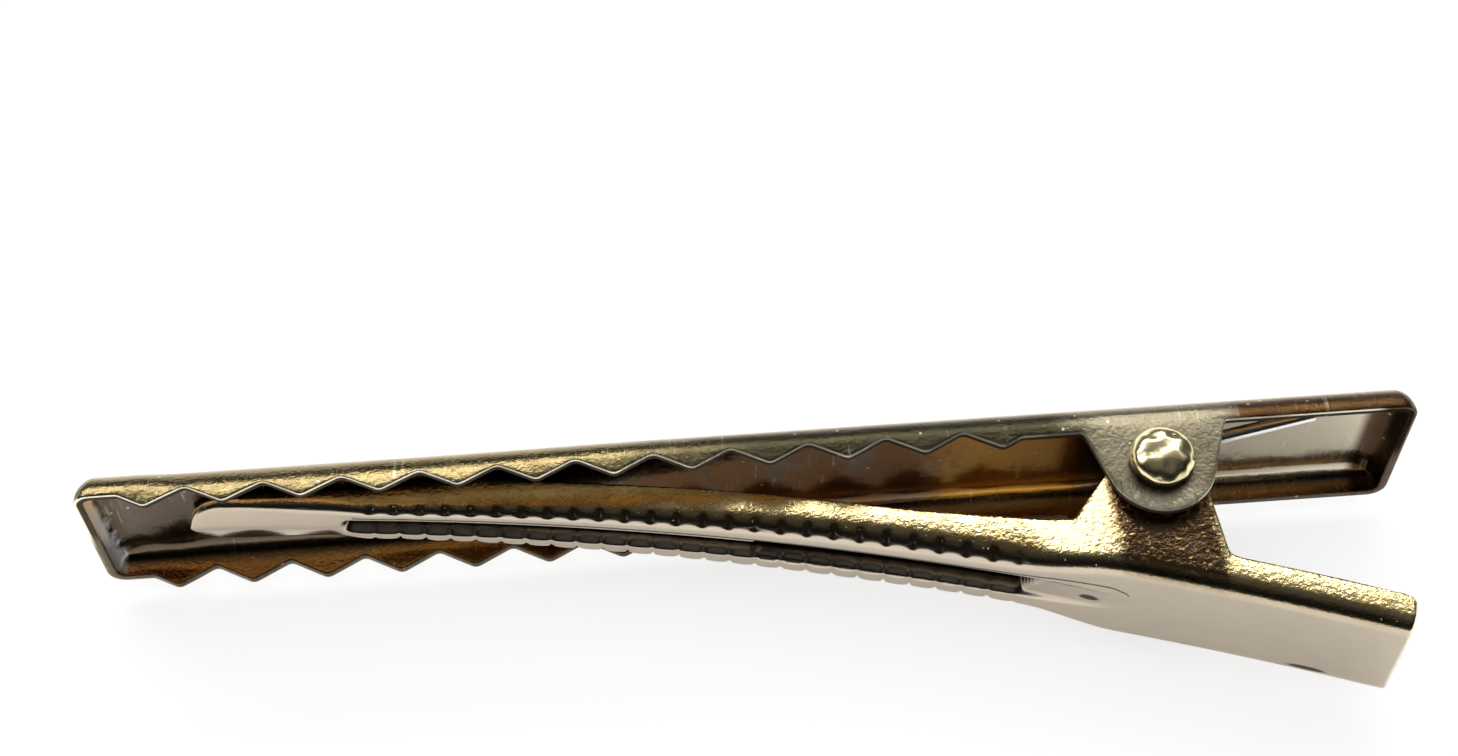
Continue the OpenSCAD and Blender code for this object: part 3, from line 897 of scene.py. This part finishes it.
def plate_zones_group():
    """Shares of the plate's zones, such as its inner face, cut edges, painted reflections of the teeth, the
    paler painted light inside, nose, flanks and ears.
    """
    tree, given = shader_group("plate_zones", "Pitch", "Valley")
    spot = part_place(tree)
    place = axes(spot)
    edge = mark(tree, "to_edge")
    mottle = noise(spot, PLATE_MOTTLE, detail=3.0)
    shares = {zone: over(place["X"], span) for zone, span in PLATE_SPANS.items()}
    shares["Clear"] = maths("MAXIMUM", shares["Clear"], over(place["Z"], SHELTER_Z))
    shares["Inside"] = ramp(mark(tree, "inside"), *INSIDE_BAND)
    shares["Cut"] = ramp(edge, *CUT_BAND)
    shares["Handled"] = over(place["Z"], HANDLED_Z)
    shares["Ear Rim"] = over(place["Y"], EAR_RIM)
    reach = scaled(place["X"], -1.0, scaled(place["Z"], -NOSE_SLANT, NOSE_REACH * MM))
    reach = over(scaled(mottle, NOSE_RAGGED * MM, reach), NOSE_BAND)
    shares["Nose"] = scaled(reach, ramp(edge, *NOSE_EDGE))
    # Painted reflection of the teeth: brown spots opposite the gaps between them, and an orange-brown spread
    # in front of the ears
    past = scaled(given["Valley"], -1.0, place["X"])
    off = maths("PINGPONG", past, scaled(given["Pitch"], 0.5))
    across = scaled(place["Z"], STAIN_ACROSS, -STAIN_ACROSS * STAIN_Z * MM)
    away = vector_maths("LENGTH", add(tree, "ShaderNodeCombineXYZ", {"X": off, "Y": across}).outputs[0])
    blot = noise(spot, STAIN_SCALE, detail=4.0, roughness=0.6)
    stain = over(scaled(blot, STAIN_SPREAD * MM, away), STAIN_BAND)
    amber = over(scaled(mottle, AMBER_RAGGED * MM, place["X"]), AMBER_START)
    shares["Stain"] = within(place["X"], STAIN_ENDS, stain)
    shares["Amber"] = within(place["X"], STAIN_ENDS, amber)
    return give(tree, shares)


def rim_line_group():
    """Fine pressed line along one rim of the groove, with a hooked end, and the two dents."""
    tree, given = shader_group("rim_line", "Half Width")
    coords = add(tree, "ShaderNodeTexCoord").outputs
    place = axes(coords["Object"])
    x0, x1 = RIM_LINE[0][0], RIM_LINE[-1][0]
    along = add(tree, "ShaderNodeMapRange", {
        "Value": place["X"], "From Min": x0 * MM, "From Max": x1 * MM}).outputs[0]
    course = add(tree, "ShaderNodeFloatCurve", {"Value": along})
    points = course.mapping.curves[0].points
    for point, (x, z) in zip(points, (RIM_LINE[0], RIM_LINE[-1])):
        point.location = ((x - x0) / (x1 - x0), z / RIM_SPAN)
    for x, z in RIM_LINE[1:-1]:
        points.new((x - x0) / (x1 - x0), z / RIM_SPAN)
    course.mapping.update()
    off = maths("ABSOLUTE", scaled(course.outputs[0], -RIM_SPAN * MM, place["Z"]))
    on_line = maths("COMPARE", along, *ON_LINE)
    line = scaled(ramp(off, given["Half Width"], 0.0), on_line)
    for x, z, length, width in DENTS:
        away = vector_maths("SUBTRACT", coords["Object"], Vector((x, 0, z)) * MM)
        away = vector_maths("MULTIPLY", away, (1 / length / MM, 0, 1 / width / MM))
        line = maths("MAXIMUM", line, ramp(vector_maths("LENGTH", away), *DENT_BAND))
    down = axes(coords["Normal"])["Y"]
    return give(tree, {"Line": scaled(line, ramp(down, *UNDERSIDE))})


GROUPS = {
    "brush": brush_marks_group(), "ripple": press_ripple_group(), "wear": edge_wear_group(),
    "marks": handling_marks_group(), "flank": flank_grain_group(), "zones": plate_zones_group(),
    "rim": rim_line_group(),
}


def group_node(tree, group, values):
    made = tree.nodes.new("ShaderNodeGroup")
    made.node_tree = GROUPS[group]
    for name, value in values.items():
        made.inputs[name].default_value = value
    return made.outputs


def plate_layers(tree, coat, colours):
    """Zones of the plate: satin behind its middle; inside, a dark painted shade, paler painted light at its
    rear and near side and brown painted reflections of the teeth; lit and shaded copies of its inner flanks,
    a painted shade in the fold, and a burnished nose.
    """
    flank = coat["flank"]
    zone = group_node(tree, "zones", {
        "Pitch": TOOTH_PITCH * MM, "Valley": (PLATE_LOW[0] + FIRST_TOOTH + STAIN_PHASE * TOOTH_PITCH) * MM})
    ear = mix_colour(zone["Ear Rim"], colours["ear"], colours["ear_rim"])
    rear = layered(colours["satin"], ((zone["Ear"], ear), (zone["Rear"], colours["lip"])))
    satin = scaled(zone["Satin"], flank)
    outer = mix_colour(satin, coat["base"], rear)
    # Painted light: the near inner flank takes a lit copy of the far flank's colour
    side = mix_colour(zone["Handled"], colours["far_flank"], colours["near_flank"])
    # Painted shade: a dark band on the inner face halfway round the rolled edge
    fold = scaled(scaled(flank, flank), -FOLD_SHADE, scaled(flank, FOLD_SHADE))
    under, rim = (
        [(zone[part.title()], colours[part]) for part in parts]
        for parts in (("clear", "stain", "amber"), ("nose", "cut", "lip")))
    # Inner face: a dark base of painted shade, painted light at its rear and near side, painted reflections
    # of the teeth, then the flanks, the fold's painted shade and the rims
    inner = layered(colours["patina"], (*under, (flank, side), (fold, colours["fold"]), *rim))
    coat["base"] = mix_colour(zone["Inside"], outer, inner)
    shown = without(without(zone["Handled"], zone["Inside"], INSIDE_HIDES), zone["Lip"])
    coat["wear"] = scaled(coat["wear"], shown)
    rougher = {
        "strip": without(scaled(zone["Clear"], zone["Inside"]), zone["Ear"]),
        "shaded": scaled(scaled(zone["Inside"], flank), zone["Handled"]),
        "nose": zone["Nose"], "satin": satin,
    }
    for part, share in rougher.items():
        coat["rough"] = scaled(share, PLATE_ROUGHNESS[part], coat["rough"])


def lever_layers(tree, coat, colours):
    """Painted shadow on the lever's ears, painted shade at the foot of its walls, in its groove and in the
    pressed line and dents, which are also pressed in.
    """
    place = part_place(tree)
    along = axes(place)["X"]
    mottle = noise(place, LEVER_MOTTLE, detail=4.0, roughness=0.6)
    ragged = scaled(mottle, LEVER_RAGGED * MM, along)
    # Painted shadow, mottled, on the lever's ears where the plate's ears overhang them
    tarnish = scaled(ramp(mottle, *TARNISH_BAND), coat["flank"])
    tarnish = within(ragged, TARNISH_ENDS, tarnish)
    line = group_node(tree, "rim", {"Half Width": LINE_HALF * MM})["Line"]
    # Painted shade: browner towards the foot of the walls, away from their cut edges
    shade = scaled(ramp(mark(tree, "to_edge"), *WALL_SHADE), coat["flank"])
    shade = without(shade, within(ragged, EAR_BRIGHT), BRIGHT_SHARE)
    # Painted shade: darker in the groove by its depth, and in the pressed line and dents
    coat["base"] = layered(coat["base"], (
        (shade, colours["shade"]), (tarnish, colours["tarnish"]),
        (scaled(mark(tree, "pit"), PIT_DARK), colours["crease"]), (line, colours["crease"])))
    coat["wear"] = without(coat["wear"], tarnish, TARNISH_HIDES)
    coat["height"] = scaled(line, -LINE_DEPTH, coat["height"])


def rivet_layers(tree, coat, colours):
    """Painted shade in a dark ring where the heads meet the ears."""
    level = axes(part_place(tree))["Z"]
    collar = over(maths("ABSOLUTE", level), [PLATE_HIGH[2] + rise for rise in COLLAR])
    coat["base"] = mix_colour(collar, coat["base"], colours["collar"])


def plated_finish(name, colours, look, layers=None):
    """Tinted plating with flats and flanks, dull patches, brush strokes, worn edges and handling marks."""
    finish = bpy.data.materials.new(name)
    finish.use_nodes = True
    tree = finish.node_tree
    shader = tree.nodes["Principled BSDF"]
    shader.inputs["Metallic"].default_value = 1.0
    colours = {part: (*colour, 1) for part, colour in colours.items()}
    strokes = group_node(tree, "brush", {"Grain": look["grain"], "Patches": look["patches"]})["Strokes"]
    ripple = group_node(tree, "ripple", {"Scale": look["ripple_scale"], "Fine Share": look["fine_share"]})
    wear = 0.0
    if look["wear_width"]:
        wear = group_node(tree, "wear", {"Width": look["wear_width"], "Scale": WEAR_SCALE})["Wear"]
    marks = group_node(tree, "marks", {
        "Speck Scale": look["speck_scale"], "Scratch Grain": look["scratch_grain"]})
    flank = group_node(tree, "flank", {"Scale": look["flank_scale"]})
    dull = ramp(ripple["Mottle"], *DULL_BAND, look["dullness"])
    patch = scaled(dull, scaled(flank["Flank"], 1 - FLAT_DULLNESS, FLAT_DULLNESS))
    rough = scaled(strokes, look["stroke_roughness"], look["roughness"])
    for share in (patch, marks["Scratches"]):
        rough = scaled(share, MARK_ROUGHNESS, rough)
    height = scaled(strokes, look["stroke_depth"])
    for relief, depth in (
            (ripple["Height"], look["ripple_depth"]), (flank["Height"], look["flank_depth"]),
            (marks["Specks"], -look["speck_depth"]), (marks["Scratches"], -look["scratch_depth"]),
            (scaled(marks["Specks"], flank["Flank"]), look["glint_depth"])):
        height = scaled(relief, depth, height)
    base = layered(colours["flat"], ((flank["Flank"], colours["flank"]), (patch, colours["dull"])))
    coat = {"base": base, "rough": rough, "wear": wear, "height": height, "flank": flank["Flank"]}
    if layers:
        layers(tree, coat, colours)
    dark, pale = (
        ramp(strokes, *(side * end for end in STREAK_BAND), look["streaks"]) for side in (-1, 1))
    base = layered(coat["base"], (
        (dark, colours["dull"]), (pale, colours["worn"]),
        (scaled(marks["Specks"], look["speck_shine"]), colours["worn"]),
        (coat["wear"], colours["worn"])))
    bump = add(tree, "ShaderNodeBump", {"Height": coat["height"], "Distance": MM, "Strength": 1.0})
    tree.links.new(base, shader.inputs["Base Color"])
    tree.links.new(coat["rough"], shader.inputs["Roughness"])
    tree.links.new(bump.outputs[0], shader.inputs["Normal"])
    return finish


# Looks of the plate, the lever, the rivet and the spring, in that order
LOOKS = {
    "roughness": (0.17, 0.14, 0.2, 0.16),
    "grain": ((5000, 200, 450), (700, 700, 6000), (2500, 2500, 2500), (900, 6000, 900)),
    "patches": (420.0, 300.0, 500.0, 400.0),
    "stroke_roughness": (0.25, 0.15, 0.2, 0.1),
    "stroke_depth": (0.016, 0.003, 0.004, 0.002),
    "streaks": (0.35, 0.1, 0.15, 0.1),
    "ripple_scale": (260.0, 240.0, 700.0, 500.0),
    "ripple_depth": (0.07, 0.03, 0.05, 0.01),
    "fine_share": (0.35, 0.2, 0.3, 0.2),
    "dullness": (0.5, 0.3, 0.4, 0.2),
    "wear_width": (0.16, 0.35, 0, 0),
    "speck_scale": (1500.0, 3600.0, 2200.0, 2500.0),
    "speck_depth": (0.006, 0.001, 0.006, 0.003),
    "speck_shine": (0.5, 0.1, 0.3, 0.1),
    "scratch_grain": ((5200, 300, 900), (500, 900, 5200), (900, 4200, 900), (600, 5000, 600)),
    "scratch_depth": (0.001, 0.002, 0.002, 0.001),
    "flank_scale": (6000.0, 4500.0, 4000.0, 4000.0),
    "flank_depth": (0.025, 0.045, 0.03, 0.0),
    "glint_depth": (0.006, 0.045, 0.0, 0.0),
}
PLATE_LOOK, LEVER_LOOK, RIVET_LOOK, WIRE_LOOK = (dict(zip(LOOKS, column)) for column in zip(*LOOKS.values()))

PLATE_COLOURS = {
    "flat": (0.42, 0.3, 0.125), "flank": (0.21, 0.165, 0.075), "satin": (0.042, 0.037, 0.02),
    "ear": (0.2, 0.175, 0.115), "ear_rim": (0.55, 0.48, 0.34), "worn": (0.9, 0.84, 0.66),
    "dull": (0.16, 0.12, 0.06), "cut": (0.1, 0.075, 0.05), "lip": (0.07, 0.036, 0.014),
    # Inside the plate the dark base colour is painted shade and the pale colour is painted light
    # The brown and orange-brown colours inside the plate are painted reflections of the teeth
    "patina": (0.12, 0.088, 0.06), "clear": (0.56, 0.49, 0.37), "stain": (0.14, 0.06, 0.014),
    # The near-black fold colour is painted shade
    "amber": (0.42, 0.21, 0.035), "fold": (0.05, 0.04, 0.032), "far_flank": (0.55, 0.31, 0.11),
    # The near inner flank's colour is a lit copy of the far one, a painted light
    "near_flank": (1.0, 0.76, 0.42), "nose": (0.85, 0.85, 0.84),
}
LEVER_COLOURS = {
    "flat": (0.53, 0.455, 0.36), "flank": (0.7, 0.56, 0.27), "worn": (0.92, 0.85, 0.62),
    # The shade colour is painted shade at the walls' foot, and the darkest one painted shadow on the ears
    "dull": (0.3, 0.22, 0.12), "shade": (0.24, 0.15, 0.06), "tarnish": (0.07, 0.04, 0.02),
    # Near-black painted shade for the groove, the pressed line and the dents
    "crease": (0.022, 0.016, 0.012),
}
RIVET_COLOURS = {
    "flat": (0.92, 0.79, 0.46), "flank": (0.92, 0.79, 0.46), "worn": (0.95, 0.86, 0.6),
    # The darkest rivet colour is painted shade at the heads' foot
    "dull": (0.5, 0.4, 0.22), "collar": (0.1, 0.075, 0.05),
}
WIRE_COLOURS = {
    "flat": (0.74, 0.73, 0.7), "flank": (0.74, 0.73, 0.7), "worn": (0.74, 0.73, 0.7),
    "dull": (0.5, 0.48, 0.44),
}


# Floor, light and camera

FLOOR_HALF = 1.5
FLOOR_COLOUR = (0.9, 0.9, 0.9, 1)
WHITE = (1, 1, 1, 1)

# Shares of plain white in the floor, as the camera sees it and as the metal mirrors it
FLOOR_SEEN = 0.75
FLOOR_MIRRORED = 0.05


def studio_floor(level):
    """Plain pale floor under the clip, which keeps its shadow."""
    corners = ((-1, -1), (1, -1), (1, 1), (-1, 1))
    mesh = bpy.data.meshes.new("floor")
    mesh.from_pydata([(x * FLOOR_HALF, y * FLOOR_HALF, level) for x, y in corners], [], [(0, 1, 2, 3)])
    floor = new_object("floor", mesh)
    paper = bpy.data.materials.new("floor_paper")
    paper.use_nodes = True
    tree = paper.node_tree
    tree.nodes.remove(tree.nodes["Principled BSDF"])
    sight = add(tree, "ShaderNodeLightPath").outputs
    mirrored = maths("MAXIMUM", sight["Is Glossy Ray"], sight["Is Transmission Ray"])
    share = scaled(mirrored, FLOOR_MIRRORED, scaled(sight["Is Camera Ray"], FLOOR_SEEN))
    matt = add(tree, "ShaderNodeBsdfDiffuse", {"Color": FLOOR_COLOUR})
    white = add(tree, "ShaderNodeEmission", {"Color": WHITE, "Strength": 1.0})
    mixed = add(tree, "ShaderNodeMixShader", {0: share, 1: matt, 2: white})
    tree.links.new(mixed.outputs[0], tree.nodes["Material Output"].inputs["Surface"])
    mesh.materials.append(paper)


# Brightness of the room by height, in front of the clip and behind it
FRONT_SKY = ((0.0, 1.0), (0.06, 0.5), (0.14, 0.03), (0.5, 0.01), (0.7, 0.02), (0.85, 0.06), (1.0, 0.13))
BACK_SKY = (
    (0.0, 1.0), (0.06, 0.5), (0.14, 0.05), (0.45, 0.06), (0.6, 0.5), (0.7, 0.9), (0.78, 0.7), (0.84, 0.42),
    (0.92, 0.2), (1.0, 0.13))
BACK_TURN = (0.0, 0.35)


def sky(tree, height, levels):
    """Brightness ramp over the height of a direction."""
    shades = add(tree, "ShaderNodeValToRGB", {"Fac": height})
    stops = shades.color_ramp.elements
    while len(stops) < len(levels):
        stops.new(0.5)
    for stop, (place, level) in zip(stops, levels):
        stop.position = place
        stop.color = (level, level, level, 1)
    return shades.outputs["Color"]


def studio_world():
    """White to the camera, and to the metal a dim room with a soft glow at the back."""
    world = bpy.data.worlds.new("studio")
    bpy.context.scene.world = world
    world.use_nodes = True
    tree = world.node_tree
    sight = add(tree, "ShaderNodeLightPath").outputs
    ray = add(tree, "ShaderNodeTexCoord").outputs["Generated"]
    towards = axes(ray)
    front, back = (sky(tree, towards["Z"], levels) for levels in (FRONT_SKY, BACK_SKY))
    room = mix_colour(ramp(towards["Y"], *BACK_TURN), front, back)
    plain = mix_colour(sight["Is Camera Ray"], room, WHITE)
    tree.links.new(plain, tree.nodes["Background"].inputs["Color"])


def softbox(name, towards, distance, size, power, mirrored=True):
    """Oblong area lamp that faces the clip from a direction, with its distance and size in metres."""
    lamp = bpy.data.lights.new(name, "AREA")
    lamp.shape = "RECTANGLE"
    lamp.size, lamp.size_y = size
    lamp.energy = power
    towards = Vector(towards).normalized()
    light = new_object(name, lamp)
    facing = towards.to_track_quat("Z", "Y").to_matrix().to_4x4()
    light.matrix_world = Matrix.Translation(towards * distance) @ facing
    light.visible_glossy = mirrored


# The camera's azimuth, elevation and roll in degrees, its distance and aim, and its lens
CAMERA_ANGLES = (-2.45, 57.34, -1.79)
CAMERA_DISTANCE = 102.7
CAMERA_AIM = (-0.83, 3.85)
FOCAL_PX = 2350
FRAME_PX = 1458
SENSOR_WIDTH = 36
NEAREST = 5


def photo_camera():
    """Camera at the photograph's viewing angle, from the fit to the plate's teeth and corners."""
    azimuth, elevation, roll = (math.radians(angle) for angle in CAMERA_ANGLES)
    level = math.cos(elevation)
    back = Vector((math.sin(azimuth) * level, -math.cos(azimuth) * level, math.sin(elevation)))
    right = (-back).cross(Vector((0, 0, 1))).normalized()
    up = right.cross(-back)
    side = right * math.cos(roll) + up * math.sin(roll)
    top = up * math.cos(roll) - right * math.sin(roll)
    data = bpy.data.cameras.new("photo_camera")
    data.sensor_width = SENSOR_WIDTH
    data.lens = SENSOR_WIDTH * FOCAL_PX / FRAME_PX
    data.clip_start = NEAREST * MM
    camera = new_object("photo_camera", data)
    stand = (side * CAMERA_AIM[0] + top * CAMERA_AIM[1] + back * CAMERA_DISTANCE) * MM
    camera.matrix_world = Matrix.Translation(stand) @ Matrix((side, top, back)).transposed().to_4x4()
    bpy.context.scene.camera = camera


def dress(piece, node, body, finish=None):
    """The piece takes its finish, if one is given, rides on its body and takes the place of its node."""
    if finish:
        piece.data.materials.append(finish)
    if body:
        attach(piece, body)
    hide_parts(node)


plate_plating = plated_finish("plate_plating", PLATE_COLOURS, PLATE_LOOK, plate_layers)
lever_plating = plated_finish("lever_plating", LEVER_COLOURS, LEVER_LOOK, lever_layers)
rivet_plating = plated_finish("rivet_plating", RIVET_COLOURS, RIVET_LOOK, rivet_layers)
spring_wire = plated_finish("spring_wire", WIRE_COLOURS, WIRE_LOOK)

dress(top_plate(), "top_plate", "upper_jaw", plate_plating)
dress(lever(), "lever", "lower_jaw", lever_plating)
dress(hinge_pin(rivet_plating), "hinge_pin", "upper_jaw")
coil, plate_leg_end, lever_leg_end = torsion_spring(spring_wire)
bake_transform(coil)
dress(coil, "torsion_spring", None)

studio_floor(PIN_LOW[2] * MM)
studio_world()
softbox("back_softbox", towards=(-0.13, 0.72, 0.68), distance=0.5, size=(0.75, 0.1), power=2.0)
softbox("front_fill", towards=(0.25, -0.8, 0.55), distance=0.6, size=(0.6, 0.4), power=1.2, mirrored=False)
softbox("overhead_fill", towards=(0, -0.1, 1), distance=0.8, size=(1.2, 1.2), power=8.0, mirrored=False)
photo_camera()

bpy.context.scene.view_settings.view_transform = "Standard"
